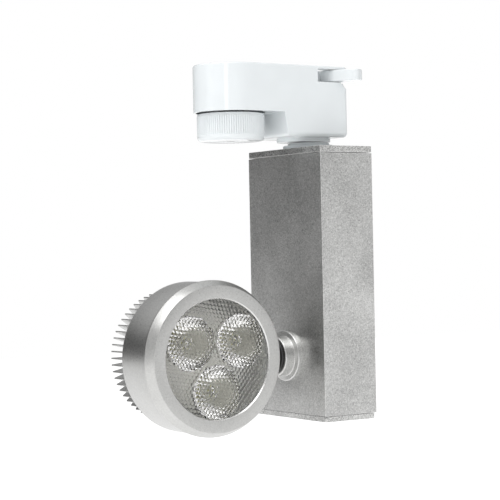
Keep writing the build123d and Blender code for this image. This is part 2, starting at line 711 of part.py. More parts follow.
def lamp_stem():
    """Dark collar let into the lamp's barrel."""
    stem = along_x(STEM_R, STEM_SEAT_X, PIVOT_FACE_X - WASHER_T, 0, TILT_Z)
    return stem - along_x(TILT_NIPPLE_R, STEM_SEAT_X - 1, FACE_X, 0, TILT_Z)


def tilt_nipple():
    """Hollow screw from the lamp into the driver case."""
    tube = along_x(TILT_NIPPLE_R, TILT_THREAD_END, TILT_INNER_END, 0, TILT_Z)
    return tube - along_x(TILT_BORE_R, TILT_THREAD_END - 1, TILT_INNER_END + 1, 0, TILT_Z)


def tilt_spring_washer():
    """Conical spring washer inside the case, which gives the tilt its friction."""
    x = FACE_X + CASE_WALL + GAP
    washer = along_x(SPRING_WASHER_R, x, x + SPRING_WASHER_T, 0, TILT_Z)
    return washer - along_x(TILT_NIPPLE_R, x - 1, x + 2, 0, TILT_Z)


def tilt_nut():
    """Hexagon nut on the tilt screw, inside the case."""
    x = FACE_X + CASE_WALL + GAP + SPRING_WASHER_T
    nut = Pos(x, 0, TILT_Z) * Rot(0, 90, 0) * hexagon(10.0, 0, 3.2)
    return nut - along_x(TILT_NIPPLE_R, x - 1, x + 5, 0, TILT_Z)


# ---------------------------------------------------------------- lamp head

RING_BACK_Y = FRONT_Y + RING_DEPTH
LENS_FRONT_Y = FRONT_Y + LENS_RECESS
LENS_BACK_Y = LENS_FRONT_Y + LENS_T
BOARD_FRONT_Y = CAVITY_END_Y - PAD_T - BOARD_T
FIN_END_Y = BARREL_END_Y + FIN_LENGTH
THREAD_R = 29.6
GASKET_T = 0.9
BOARD_SCREW_ANGLES = (90, 210, 330)
BOARD_SCREW_CIRCLE_R = 20.0


def fin_outline():
    """Core and radial fins in one outline: each fin is a strip of constant thickness."""
    half = FIN_THICKNESS / 2
    points = []
    for i in range(FIN_COUNT):
        turn = 2 * pi * i / FIN_COUNT
        for radius, side in ((FIN_CORE_R, -half), (FIN_R, -half), (FIN_R, half), (FIN_CORE_R, half)):
            reach = sqrt(radius * radius - side * side)
            points.append((reach * cos(turn) - side * sin(turn), reach * sin(turn) + side * cos(turn)))
    return make_face(Polyline(points, close=True))


def heat_sink():
    """Barrel and fins in one casting, open at the front for the optics."""
    body = lamp_turned(
        [
            (0, CAVITY_END_Y),
            (CAVITY_R, CAVITY_END_Y),
            (CAVITY_R, RING_BACK_Y + 0.4),
            (THREAD_R + 0.1, RING_BACK_Y + 0.4),
            (THREAD_R + 0.1, RING_BACK_Y),
            (BARREL_R, RING_BACK_Y),
            (BARREL_R, BARREL_END_Y - 0.7),
            (BARREL_R - 0.7, BARREL_END_Y),
            (0, BARREL_END_Y),
        ]
    )
    fins = extrude(fin_outline(), FIN_LENGTH + 0.5)
    body += Pos(LAMP_X, FIN_END_Y, LAMP_Z) * Rot(90, 0, 0) * fins
    body -= along_x(STEM_R, STEM_SEAT_X, LAMP_X + 40, 0, TILT_Z)
    body -= along_x(TILT_NIPPLE_R, TILT_THREAD_END, LAMP_X + 40, 0, TILT_Z)
    body -= along_x(TILT_BORE_R, LAMP_X + CAVITY_R - 2, LAMP_X + 40, 0, TILT_Z)
    for place in board_screw_places():
        body -= place * Pos(0, 0, -3) * Cylinder(BOARD_SCREW_R, 8)
    return body


def bezel_ring():
    """Front ring: flat face, conical bevel, short rim, and a lip that holds the lens plate."""
    return lamp_turned(
        [
            (RING_OPENING_R, FRONT_Y + OPENING_CHAMFER),
            (RING_OPENING_R + OPENING_CHAMFER, FRONT_Y),
            (RING_FRONT_R, FRONT_Y),
            (RING_R, FRONT_Y + BEVEL_DEPTH),
            (RING_R, RING_BACK_Y - 0.3),
            (RING_R - 0.3, RING_BACK_Y),
            (LENS_R + 0.2, RING_BACK_Y),
            (LENS_R + 0.2, LENS_FRONT_Y),
            (RING_OPENING_R, LENS_FRONT_Y),
        ]
    )


def lens_plate():
    """Clear front plate of the three-in-one optic."""
    return lamp_disc(LENS_R, LENS_FRONT_Y, LENS_BACK_Y)


def optic_places():
    """Middle of each optic, as (x, z)."""
    places = []
    for angle in OPTIC_ANGLES:
        x = LAMP_X + OPTIC_CIRCLE_R * cos(radians(angle))
        z = LAMP_Z + OPTIC_CIRCLE_R * sin(radians(angle))
        places.append((x, z))
    return places


def optics():
    """Three clear collimating cones behind the front plate, hollow where each takes its emitter."""
    cones = []
    for x, z in optic_places():
        outline = make_face(
            Polyline(
                (0, LENS_BACK_Y, 0),
                (OPTIC_FRONT_R, LENS_BACK_Y, 0),
                (OPTIC_BACK_R, LENS_BACK_Y + OPTIC_DEPTH, 0),
                (3.0, LENS_BACK_Y + OPTIC_DEPTH, 0),
                (2.6, LENS_BACK_Y + OPTIC_DEPTH - 4.0, 0),
                (0, LENS_BACK_Y + OPTIC_DEPTH - 4.6, 0),
                close=True,
            )
        )
        cones.append(Pos(x, 0, z) * revolve(outline, Axis.Y, 360))
    return cones


def inner_ring(y_front, y_back):
    """A ring behind the lens plate's edge, outside the optics."""
    inner_r = LENS_R - 0.7
    return lamp_turned([(inner_r, y_front), (LENS_R, y_front), (LENS_R, y_back), (inner_r, y_back)])


def lens_gasket():
    """Soft ring behind the lens plate's edge."""
    return inner_ring(LENS_BACK_Y, LENS_BACK_Y + GASKET_T)


def spacer_ring():
    """Thin ring in the bezel that presses the gasket and the lens plate forward."""
    return inner_ring(LENS_BACK_Y + GASKET_T, RING_BACK_Y + 0.4)


def board_screw_places():
    """Where each board screw stands, pointing backwards."""
    places = []
    for angle in BOARD_SCREW_ANGLES:
        x = LAMP_X + BOARD_SCREW_CIRCLE_R * cos(radians(angle))
        z = LAMP_Z + BOARD_SCREW_CIRCLE_R * sin(radians(angle))
        places.append(Pos(x, BOARD_FRONT_Y, z) * Rot(90, 0, 0))
    return places


def led_board():
    """Metal-core board that carries the three emitters."""
    board = lamp_disc(BOARD_R, BOARD_FRONT_Y, BOARD_FRONT_Y + BOARD_T)
    for place in board_screw_places():
        board -= place * Cylinder(BOARD_SCREW_R, 10)
    return board


def thermal_pad():
    """Heat-conducting pad under the board."""
    pad = lamp_disc(BOARD_R, BOARD_FRONT_Y + BOARD_T, CAVITY_END_Y)
    for place in board_screw_places():
        pad -= place * Cylinder(BOARD_SCREW_R, 10)
    return pad


def board_screws():
    """Three pan-head screws through the board into the heat sink."""
    return [place * pan_screw(BOARD_SCREW_R, 1.9, 1.3, 6.5) for place in board_screw_places()]


def emitters():
    """Three light-emitting diodes, each a square base with a dome."""
    leds = []
    base_y = BOARD_FRONT_Y - EMITTER_BASE_T
    for x, z in optic_places():
        base = block(
            (x - EMITTER_HALF, base_y, z - EMITTER_HALF),
            (x + EMITTER_HALF, BOARD_FRONT_Y, z + EMITTER_HALF),
        )
        dome = Pos(x, base_y, z) * Sphere(EMITTER_DOME_R)
        dome &= block((x - 2, BOARD_FRONT_Y - 3, z - 2), (x + 2, BOARD_FRONT_Y - 0.3, z + 2))
        leds.append(base + dome)
    return leds


# ---------------------------------------------------------------- the nodes

save("adapter_housing", adapter_housing())
save("adapter_cover", adapter_cover())
save("cover_screws", *cover_screws())
save("terminal_block", terminal_block())
save("terminal_screws", *terminal_screws())
save("terminal_tails", *terminal_tails())

save("guide_sleeve", guide_sleeve())
save("return_spring", return_spring())
save("ring_knob", ring_knob())
save("contact_turret", contact_turret())
save("contact_blades", *contact_blades())
save("knob_screw", knob_screw())

save("lock_lever", lock_lever())
save("lever_clip", lever_clip())
save("lock_bolt", lock_bolt())
save("lock_pin", lock_pin())

save("swivel_collar", swivel_collar())
save("swivel_nipple", swivel_nipple())
save("swivel_washers", *swivel_washers())
save("swivel_nuts", *swivel_nuts())

save("driver_case", driver_case())
save("top_cap", top_cap())
save("bottom_cap", bottom_cap())
save("top_cap_screws", *cap_screws(CASE_TOP, 0))
save("bottom_cap_screws", *cap_screws(CASE_BOTTOM, 180))
save("driver_board", driver_board())
save("board_standoffs", *board_standoffs())
save("insulator_sheet", insulator_sheet())
save("transformer", transformer())
save("capacitors", *capacitors())
save("driver_chips", *driver_chips())
save("pivot_boss", pivot_boss())

save("friction_washer", friction_washer())
save("lamp_stem", lamp_stem())
save("tilt_nipple", tilt_nipple())
save("tilt_spring_washer", tilt_spring_washer())
save("tilt_nut", tilt_nut())
save("heat_sink", heat_sink())
save("bezel_ring", bezel_ring())
save("lens_plate", lens_plate())
save("optics", *optics())
save("lens_gasket", lens_gasket())
save("spacer_ring", spacer_ring())
save("led_board", led_board())
save("thermal_pad", thermal_pad())
save("board_screws", *board_screws())
save("emitters", *emitters())
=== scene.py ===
"""Track spotlight: looks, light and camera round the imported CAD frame. Metres, Z up."""

import json
import math

import bmesh
import bpy
from mathutils import Matrix, Vector

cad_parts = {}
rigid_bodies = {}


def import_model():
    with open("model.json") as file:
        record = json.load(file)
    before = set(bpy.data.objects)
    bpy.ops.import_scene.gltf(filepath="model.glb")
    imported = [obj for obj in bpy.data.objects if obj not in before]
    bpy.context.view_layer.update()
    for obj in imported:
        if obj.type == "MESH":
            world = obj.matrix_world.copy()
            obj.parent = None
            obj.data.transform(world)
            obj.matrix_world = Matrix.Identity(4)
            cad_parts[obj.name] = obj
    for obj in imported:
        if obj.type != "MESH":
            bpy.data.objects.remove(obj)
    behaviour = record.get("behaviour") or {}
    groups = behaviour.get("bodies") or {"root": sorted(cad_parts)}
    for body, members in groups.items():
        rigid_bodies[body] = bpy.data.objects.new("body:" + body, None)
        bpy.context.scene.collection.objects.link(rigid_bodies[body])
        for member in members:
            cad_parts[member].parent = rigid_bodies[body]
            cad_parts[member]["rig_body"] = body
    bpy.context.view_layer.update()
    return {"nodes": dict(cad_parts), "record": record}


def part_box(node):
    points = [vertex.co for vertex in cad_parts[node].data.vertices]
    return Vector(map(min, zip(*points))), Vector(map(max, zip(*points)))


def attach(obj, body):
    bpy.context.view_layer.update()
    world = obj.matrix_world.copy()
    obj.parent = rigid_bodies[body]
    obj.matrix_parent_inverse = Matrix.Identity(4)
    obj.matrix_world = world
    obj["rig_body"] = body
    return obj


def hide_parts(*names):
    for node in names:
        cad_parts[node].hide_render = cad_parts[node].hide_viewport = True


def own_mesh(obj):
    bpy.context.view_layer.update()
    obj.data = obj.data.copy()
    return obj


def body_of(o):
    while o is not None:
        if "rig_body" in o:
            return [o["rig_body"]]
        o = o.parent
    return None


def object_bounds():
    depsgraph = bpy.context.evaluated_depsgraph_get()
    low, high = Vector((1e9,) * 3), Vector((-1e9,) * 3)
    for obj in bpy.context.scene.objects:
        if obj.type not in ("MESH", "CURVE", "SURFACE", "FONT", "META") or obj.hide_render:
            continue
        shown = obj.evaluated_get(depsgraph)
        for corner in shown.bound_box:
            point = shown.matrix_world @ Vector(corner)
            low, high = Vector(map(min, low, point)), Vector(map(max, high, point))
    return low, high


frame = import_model()
nodes = frame["nodes"]
MM = 0.001
scene = bpy.context.scene


# ---------------------------------------------------------------- material helpers


class Shader:
    """A node material built round one Principled shader. Patterns are in object coordinates, in metres."""

    def __init__(self, name, color, roughness, metallic=0.0, **sockets):
        self.material = bpy.data.materials.new(name)
        self.material.use_nodes = True
        self.tree = self.material.node_tree
        self.principled = self.tree.nodes["Principled BSDF"]
        self.set("Base Color", (*color, 1.0))
        self.set("Roughness", roughness)
        self.set("Metallic", metallic)
        for key, value in sockets.items():
            self.set(key.replace("_", " "), value)
        self.place = self.tree.nodes.new("ShaderNodeTexCoord").outputs["Object"]

    def set(self, socket, value):
        """Sets a constant on the shader's own socket."""
        self.principled.inputs[socket].default_value = value

    def link(self, output, socket):
        """Links a pattern to one of the shader's sockets."""
        self.tree.links.new(output, self.principled.inputs[socket])

    def noise(self, size, detail=2.0, roughness=0.5, squash=(1, 1, 1)):
        """Noise whose features are about size metres across."""
        node = self.tree.nodes.new("ShaderNodeTexNoise")
        node.inputs["Scale"].default_value = 1.0 / size
        node.inputs["Detail"].default_value = detail
        node.inputs["Roughness"].default_value = roughness
        self.tree.links.new(self.stretched(squash), node.inputs["Vector"])
        return node.outputs["Fac"]

    def cells(self, size):
        """A random grey for each Voronoi cell of about size metres."""
        node = self.tree.nodes.new("ShaderNodeTexVoronoi")
        node.inputs["Scale"].default_value = 1.0 / size
        self.tree.links.new(self.place, node.inputs["Vector"])
        return node.outputs["Color"]

    def stretched(self, squash):
        """The object coordinates, scaled along each axis."""
        if tuple(squash) == (1, 1, 1):
            return self.place
        node = self.tree.nodes.new("ShaderNodeMapping")
        node.inputs["Scale"].default_value = squash
        self.tree.links.new(self.place, node.inputs["Vector"])
        return node.outputs["Vector"]

    def remap(self, value, low, high, to_low, to_high):
        """Linear map of a pattern, clamped to the new range."""
        node = self.tree.nodes.new("ShaderNodeMapRange")
        for socket, number in zip(("From Min", "From Max", "To Min", "To Max"), (low, high, to_low, to_high)):
            node.inputs[socket].default_value = number
        self.tree.links.new(value, node.inputs["Value"])
        return node.outputs["Result"]

    def ramp(self, value, *stops):
        """Colour ramp: stops are (position, colour)."""
        node = self.tree.nodes.new("ShaderNodeValToRGB")
        elements = node.color_ramp.elements
        for index, (position, color) in enumerate(stops):
            element = elements[index] if index < 2 else elements.new(position)
            element.position = position
            element.color = (*color, 1.0)
        self.tree.links.new(value, node.inputs["Fac"])
        return node.outputs["Color"]

    def combine(self, operation, a, b):
        """A maths node on two patterns, or a pattern and a number."""
        node = self.tree.nodes.new("ShaderNodeMath")
        node.operation = operation
        for index, value in enumerate((a, b)):
            if isinstance(value, (int, float)):
                node.inputs[index].default_value = value
            else:
                self.tree.links.new(value, node.inputs[index])
        return node.outputs["Value"]

    def bump(self, height, depth, strength=1.0):
        """Bump of a pattern whose full range is depth metres; several stack up."""
        node = self.tree.nodes.new("ShaderNodeBump")
        node.inputs["Strength"].default_value = strength
        node.inputs["Distance"].default_value = depth
        self.tree.links.new(height, node.inputs["Height"])
        normal = self.principled.inputs["Normal"]
        if normal.links:
            self.tree.links.new(normal.links[0].from_socket, node.inputs["Normal"])
        self.tree.links.new(node.outputs["Normal"], normal)
        return self


# ---------------------------------------------------------------- materials


def sanded_aluminium(name, tone=(0.49, 0.49, 0.483), roughness=0.34, contrast=0.36, grit=0.4):
    """Silver anodising over a sand-blasted surface: fine sparkling grain."""
    m = Shader(name, tone, roughness, 1.0)
    grain = m.noise(0.45 * MM, detail=3.0, roughness=0.7)
    speck = m.cells(0.50 * MM)
    cloud = m.noise(22 * MM, detail=2.0)
    mixed = m.combine("ADD", m.combine("MULTIPLY", grain, 0.8), m.combine("MULTIPLY", speck, 0.2))
    mixed = m.combine("ADD", mixed, m.combine("MULTIPLY", cloud, 0.30))
    dark = tuple((1 - contrast) * c for c in tone)
    bright = tuple(min(1.0, (1 + contrast) * c) for c in tone)
    m.link(m.ramp(mixed, (0.48, dark), (0.84, bright)), "Base Color")
    m.link(m.remap(grain, 0.3, 0.7, roughness - 0.08, roughness + 0.08), "Roughness")
    m.bump(grain, 0.04 * MM, grit)
    m.bump(speck, 0.02 * MM, 0.2)
    return m.material


def turned_aluminium(name):
    """Satin aluminium with faint turning marks."""
    m = Shader(name, (0.60, 0.60, 0.59), 0.26, 1.0)
    marks = m.noise(0.3 * MM, detail=1.0, squash=(8, 1, 1))
    m.link(m.ramp(marks, (0.3, (0.54, 0.54, 0.53)), (0.7, (0.66, 0.66, 0.65))), "Base Color")
    m.link(m.remap(marks, 0.3, 0.7, 0.20, 0.32), "Roughness")
    return m.bump(marks, 0.01 * MM, 0.4).material


def white_moulding(name, tone=(0.715, 0.748, 0.762), roughness=0.06):
    """Glossy white ABS: a smooth skin with a faint ripple and slight mottling."""
    m = Shader(name, tone, roughness, 0.0, IOR=1.52)
    ripple = m.noise(9 * MM, detail=1.0)
    skin = m.noise(0.3 * MM, detail=1.0)
    low = tuple(0.98 * c for c in tone)
    m.link(m.ramp(ripple, (0.35, low), (0.65, tone)), "Base Color")
    m.link(m.remap(skin, 0.3, 0.7, roughness - 0.03, roughness + 0.05), "Roughness")
    m.bump(ripple, 0.05 * MM, 0.5)
    m.bump(skin, 0.002 * MM, 0.3)
    return m.material


def plated_steel(name):
    """Zinc-plated steel with a fine mottled lustre."""
    m = Shader(name, (0.58, 0.585, 0.59), 0.32, 1.0)
    mottle = m.noise(0.6 * MM, detail=2.0)
    m.link(m.ramp(mottle, (0.3, (0.50, 0.505, 0.51)), (0.7, (0.66, 0.665, 0.67))), "Base Color")
    m.link(m.remap(mottle, 0.3, 0.7, 0.26, 0.42), "Roughness")
    return m.bump(mottle, 0.01 * MM, 0.3).material


def stamped_brass(name):
    """Bright brass strip with faint rolling marks."""
    m = Shader(name, (0.80, 0.58, 0.25), 0.26, 1.0)
    marks = m.noise(0.4 * MM, detail=2.0, squash=(1, 6, 1))
    m.link(m.ramp(marks, (0.3, (0.70, 0.48, 0.19)), (0.7, (0.86, 0.65, 0.31))), "Base Color")
    return m.bump(marks, 0.008 * MM, 0.3).material


def dull_plastic(name, tone, roughness=0.5):
    """Moulded plastic or sleeve with a fine even skin."""
    m = Shader(name, tone, roughness)
    skin = m.noise(0.25 * MM, detail=2.0)
    low = tuple(0.9 * c for c in tone)
    m.link(m.ramp(skin, (0.35, low), (0.65, tone)), "Base Color")
    m.link(m.remap(skin, 0.3, 0.7, roughness - 0.06, roughness + 0.06), "Roughness")
    return m.bump(skin, 0.01 * MM, 0.4).material


def clear_acrylic(name, tone=(0.99, 0.985, 0.975), roughness=0.03):
    """Clear moulded acrylic. Lamp light passes straight through, so what is behind isn't left dark."""
    m = Shader(name, tone, roughness, 0.0, IOR=1.49, Transmission_Weight=1.0)
    skin = m.noise(0.8 * MM, detail=1.0)
    m.link(m.remap(skin, 0.3, 0.7, roughness, roughness + 0.04), "Roughness")
    tree = m.tree
    clear = tree.nodes.new("ShaderNodeBsdfTransparent")
    clear.inputs["Color"].default_value = (0.8, 0.82, 0.8, 1)
    path = tree.nodes.new("ShaderNodeLightPath")
    mix = tree.nodes.new("ShaderNodeMixShader")
    tree.links.new(path.outputs["Is Shadow Ray"], mix.inputs["Fac"])
    tree.links.new(m.principled.outputs["BSDF"], mix.inputs[1])
    tree.links.new(clear.outputs["BSDF"], mix.inputs[2])
    tree.links.new(mix.outputs["Shader"], tree.nodes["Material Output"].inputs["Surface"])
    return m.material


silver = sanded_aluminium("sanded silver")
silver_cap = sanded_aluminium("sanded cap", (0.52, 0.52, 0.512), 0.30, 0.5, 1.0)
silver_cast = sanded_aluminium("sanded casting", (0.48, 0.48, 0.472), 0.32, 0.12)
silver_boss = sanded_aluminium("sanded boss", (0.58, 0.58, 0.57), 0.32, 0.12)
turned = turned_aluminium("turned silver")
white = white_moulding("white moulding")
steel = plated_steel("plated steel")
brass = stamped_brass("stamped brass")
pale = dull_plastic("pale plastic", (0.78, 0.77, 0.72))
black = dull_plastic("black plastic", (0.035, 0.035, 0.035), 0.42)
green = dull_plastic("solder resist", (0.05, 0.20, 0.08), 0.35)
tape = dull_plastic("winding tape", (0.72, 0.56, 0.10), 0.45)
sleeve = dull_plastic("can sleeve", (0.06, 0.07, 0.10), 0.3)
sheet = dull_plastic("insulating sheet", (0.80, 0.77, 0.66), 0.4)
silicone = dull_plastic("grey silicone", (0.45, 0.45, 0.45), 0.6)
board_white = dull_plastic("white board", (0.86, 0.855, 0.84), 0.35)
# The edge roundings of the case and caps get a much brighter silver: a painted highlight along those edges.
painted_highlight_edge = sanded_aluminium("painted highlight edge", (0.86, 0.86, 0.85), 0.30, 0.12)
emitter_base = dull_plastic("emitter base", (0.62, 0.64, 0.38), 0.4)
phosphor = dull_plastic("phosphor dome", (0.78, 0.72, 0.20), 0.25)
acrylic = clear_acrylic("clear acrylic")
# The cone walls are clear acrylic tinted grey: painted shade that stands in for the dark reflections in the
# optic zones.
cone_wall_painted_shade = clear_acrylic("cone wall", (0.52, 0.51, 0.45))
silver_ring = sanded_aluminium("sanded ring", (0.49, 0.49, 0.48), 0.33, 0.12)

FINISHES = {
    "white_plastic": white,
    "steel": steel,
    "brass": brass,
    "pale_plastic": pale,
    "silver_case": silver,
    "silver_turned": turned,
    "board_green": green,
    "insulation": sheet,
    "coil_tape": tape,
    "component_sleeve": sleeve,
    "black_plastic": black,
    "clear_acrylic": acrylic,
    "grey_rubber": silicone,
    "board_white": board_white,
    "phosphor": phosphor,
}
SLOTS = {part["node"]: part["material_slot"] for part in frame["record"]["subparts"]}

for node, slot_name in SLOTS.items():
    mesh = nodes[node].data
    mesh.materials.clear()
    mesh.materials.append(FINISHES[slot_name])


# ---------------------------------------------------------------- mesh helpers


def piece(name, vertices, faces, body, replaced, finish, angle=32, extra=(), pick=None):
    """Makes a piece that rides on a body and stands for CAD nodes. pick(face) gives a material index."""
    mesh = bpy.data.meshes.new(name)
    mesh.from_pydata([tuple(v) for v in vertices], [], faces)
    work = bmesh.new()
    work.from_mesh(mesh)
    bmesh.ops.remove_doubles(work, verts=work.verts, dist=0.0005 * MM)
    bmesh.ops.recalc_face_normals(work, faces=work.faces)
    for material in (finish, *extra):
        mesh.materials.append(material)
    if pick:
        for face in work.faces:
            face.material_index = pick(face)
    work.to_mesh(mesh)
    work.free()
    mesh.shade_smooth()
    mesh.set_sharp_from_angle(angle=math.radians(angle))
    obj = bpy.data.objects.new(name, mesh)
    scene.collection.objects.link(obj)
    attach(obj, body)
    if replaced:
        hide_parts(*replaced)
    return obj


def rounded(corners, steps=5):
    """A closed outline of (r, h) points from corners (r, h, radius), each rounded to that radius."""
    points = []
    count = len(corners)
    for i, (r, h, radius) in enumerate(corners):
        here = Vector((r, h))
        if radius <= 0:
            points.append(here)
            continue
        back = (Vector(corners[i - 1][:2]) - here).normalized()
        ahead = (Vector(corners[(i + 1) % count][:2]) - here).normalized()
        half = back.angle(ahead) / 2
        reach = radius / math.tan(half)
        centre = here + (back + ahead).normalized() * (radius / math.sin(half))
        start = here + back * reach - centre
        turn = start.angle_signed(here + ahead * reach - centre)
        for k in range(steps + 1):
            share = -turn * k / steps
            c, s = math.cos(share), math.sin(share)
            points.append(centre + Vector((start.x * c - start.y * s, start.x * s + start.y * c)))
    return [(p.x, p.y) for p in points]


def turned_mesh(outline, segments, place):
    """Revolves a closed outline in millimetres about a placed axis."""
    vertices, rows = [], []
    for r, h in outline:
        if r < 1e-6:
            vertices.append(place @ Vector((0, 0, h * MM)))
            rows.append([len(vertices) - 1] * segments)
            continue
        row = []
        for k in range(segments):
            angle = 2 * math.pi * k / segments
            spot = (r * math.cos(angle) * MM, r * math.sin(angle) * MM, h * MM)
            vertices.append(place @ Vector(spot))
            row.append(len(vertices) - 1)
        rows.append(row)
    faces = []
    for i in range(len(rows)):
        low, high = rows[i], rows[(i + 1) % len(rows)]
        for k in range(segments):
            n = (k + 1) % segments
            loop = [low[k], low[n], high[n], high[k]]
            corners = [v for j, v in enumerate(loop) if v not in loop[:j]]
            if len(corners) > 2:
                faces.append(corners)
    return vertices, faces


def middle(node):
    """Centre of a CAD node's box."""
    low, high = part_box(node)
    return (low + high) / 2


def cut(obj, cutter_mesh):
    """Takes a closed mesh out of a piece."""
    vertices, faces = cutter_mesh
    mesh = bpy.data.meshes.new("cutter")
    mesh.from_pydata([tuple(v) for v in vertices], [], faces)
    work = bmesh.new()
    work.from_mesh(mesh)
    bmesh.ops.remove_doubles(work, verts=work.verts, dist=0.0005 * MM)
    bmesh.ops.recalc_face_normals(work, faces=work.faces)
    work.to_mesh(mesh)
    work.free()
    cutter = bpy.data.objects.new("cutter", mesh)
    scene.collection.objects.link(cutter)
    modifier = obj.modifiers.new("cut", "BOOLEAN")
    modifier.operation = "DIFFERENCE"
    modifier.object = cutter
    modifier.solver = "EXACT"
    bpy.context.view_layer.update()
    result = bpy.data.meshes.new_from_object(obj.evaluated_get(bpy.context.evaluated_depsgraph_get()))
    obj.modifiers.clear()
    obj.data = result
    result.shade_smooth()
    result.set_sharp_from_angle(angle=math.radians(32))
    bpy.data.objects.remove(cutter)
    return obj


def soften(node, width, segments=2, limit=40, edge=None):
    """Rounds a CAD node's hard edges with modifiers only; edge is the finish of the rounding."""
    obj = nodes[node]
    if edge:
        obj.data.materials.append(edge)
    weld = obj.modifiers.new("weld", "WELD")
    weld.merge_threshold = 0.001 * MM
    flat = obj.modifiers.new("flat", "DECIMATE")
    flat.decimate_type = "DISSOLVE"
    flat.angle_limit = math.radians(0.6)
    bevel = obj.modifiers.new("bevel", "BEVEL")
    bevel.width = width * MM
    bevel.segments = segments
    bevel.limit_method = "ANGLE"
    bevel.angle_limit = math.radians(limit)
    bevel.miter_outer = "MITER_ARC"
    if edge:
        bevel.material = 1
    even = obj.modifiers.new("even", "WEIGHTED_NORMAL")
    even.keep_sharp = True
    mesh = obj.data
    if mesh.has_custom_normals:
        mesh.attributes.remove(mesh.attributes["custom_normal"])
    mesh.shade_smooth()


# ---------------------------------------------------------------- lamp head

lamp_axis = middle("bezel_ring")
ALONG_LAMP = Matrix.Translation((lamp_axis.x, 0, lamp_axis.z)) @ Matrix.Rotation(-math.pi / 2, 4, "X")
ring_low, ring_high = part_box("bezel_ring")
FRONT = ring_low.y / MM
RING_BACK = ring_high.y / MM
RING_R = (ring_high.x - ring_low.x) / 2 / MM
OPENING_R = 25.1
RING_FACE_R = 30.8
BEVEL_DEPTH = 4.45
LENS_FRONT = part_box("lens_plate")[0].y / MM
LENS_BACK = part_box("lens_plate")[1].y / MM
LENS_R = (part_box("lens_plate")[1].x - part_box("lens_plate")[0].x) / 2 / MM


def bezel_ring():
    """Sand-textured ring with a bright cut edge round the opening."""
    outline = rounded(
        [
            (OPENING_R, FRONT + 0.5, 0.1),
            (OPENING_R + 0.45, FRONT, 0.12),
            (RING_FACE_R, FRONT, 0.35),
            (RING_R, FRONT + BEVEL_DEPTH, 0.4),
            (RING_R, RING_BACK, 0.3),
            (LENS_R + 0.2, RING_BACK, 0.1),
            (LENS_R + 0.2, LENS_FRONT, 0),
            (OPENING_R, LENS_FRONT, 0.05),
        ]
    )
    vertices, faces = turned_mesh(outline, 240, ALONG_LAMP)

    def cut_edge(face):
        centre = face.calc_center_median()
        r = Vector((centre.x - lamp_axis.x, centre.z - lamp_axis.z)).length / MM
        return 1 if r < OPENING_R + 0.42 and centre.y / MM < FRONT + 0.6 else 0

    piece("bezel_ring_turned", vertices, faces, "lamp", ["bezel_ring"], silver_ring, 30, [turned], cut_edge)


BARREL_R = 32.2
BARREL_BACK = 11.6
CAVITY_R = 27.0
CAVITY_BACK = 2.4
FIN_R = 28.2
CORE_R = 12.0
FINS = 60


def heat_sink():
    """Barrel with a rounded back edge, a turned core and tapered fins, cut for the side stem."""
    barrel = rounded(
        [
            (0, CAVITY_BACK, 0),
            (CAVITY_R, CAVITY_BACK, 0.4),
            (CAVITY_R, RING_BACK + 0.4, 0.1),
            (BARREL_R - 2.5, RING_BACK + 0.4, 0),
            (BARREL_R - 2.5, RING_BACK, 0.1),
            (BARREL_R, RING_BACK, 0.3),
            (BARREL_R, BARREL_BACK, 0.9),
            (0, BARREL_BACK, 0),
        ]
    )
    vertices, faces = turned_mesh(barrel, 240, ALONG_LAMP)
    shell = piece("heat_sink_barrel", vertices, faces, "lamp", ["heat_sink"], silver_cast, 30)
    stem_low, stem_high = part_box("lamp_stem")
    tube_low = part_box("tilt_nipple")[0].x / MM
    stem_r = (stem_high.z - stem_low.z) / 2 / MM
    tube_r = (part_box("tilt_nipple")[1].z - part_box("tilt_nipple")[0].z) / 2 / MM
    pivot = middle("lamp_stem")
    along_tilt = Matrix.Translation((0, pivot.y, pivot.z)) @ Matrix.Rotation(math.pi / 2, 4, "Y")
    far = stem_high.x / MM
    seat = stem_low.x / MM
    bore = [(0, tube_low), (tube_r, tube_low), (tube_r, seat), (stem_r, seat), (stem_r, far), (0, far)]
    cut(shell, turned_mesh(bore, 96, along_tilt))

    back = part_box("heat_sink")[1].y / MM
    core_front = BARREL_BACK - 0.5
    core = rounded([(0, core_front, 0), (CORE_R, core_front, 0), (CORE_R, back, 0.5), (0, back, 0)])
    vertices, faces = turned_mesh(core, 180, ALONG_LAMP)
    for i in range(FINS):
        turn = Matrix.Rotation(2 * math.pi * i / FINS, 4, "Z")
        rows = []
        levels = ((BARREL_BACK - 0.4, 0.0), (back - 0.25, 0.0), (back - 0.07, 0.08), (back, 0.25))
        for depth, shrink in levels:
            root, tip = 0.50 - shrink * 0.6, 0.36 - shrink * 0.6
            reach = FIN_R - shrink
            outline = [(CORE_R - 0.5, -root), (reach - tip, -tip)]
            for k in range(1, 6):
                bend = math.pi * k / 6 - math.pi / 2
                outline.append((reach - tip + tip * math.cos(bend), tip * math.sin(bend)))
            outline += [(reach - tip, tip), (CORE_R - 0.5, root)]
            start = len(vertices)
            vertices += [ALONG_LAMP @ (turn @ Vector((x * MM, y * MM, depth * MM))) for x, y in outline]
            rows.append(list(range(start, len(vertices))))
        for low, high in zip(rows, rows[1:]):
            for k in range(len(low)):
                n = (k + 1) % len(low)
                faces.append([low[k], low[n], high[n], high[k]])
        faces += [rows[0][::-1], rows[-1]]
    piece("heat_sink_fins", vertices, faces, "lamp", [], silver_cast, 34)


BEAD_PITCH = 1.72
BEAD_TILT = math.radians(10)
BEAD_R = 1.35
BEAD_RINGS = 5
OPTIC_CIRCLE_R = 14.0
OPTIC_ANGLES = (30, 150, 270)
CONE_MOUTH_R = 11.35
CONE_FOOT_R = 4.6
CONE_BULGE = 0.72  # how far the wall bows out at mid depth
CONE_DEPTH = 9.2
CONE_STEPS = 12
CONE_SEGMENTS = 72


def bead_height(distance):
    """Height of a bead's dome above its border circle."""
    edge = BEAD_PITCH / math.sqrt(3)
    return math.sqrt(BEAD_R**2 - min(distance, edge) ** 2) - math.sqrt(BEAD_R**2 - edge**2)


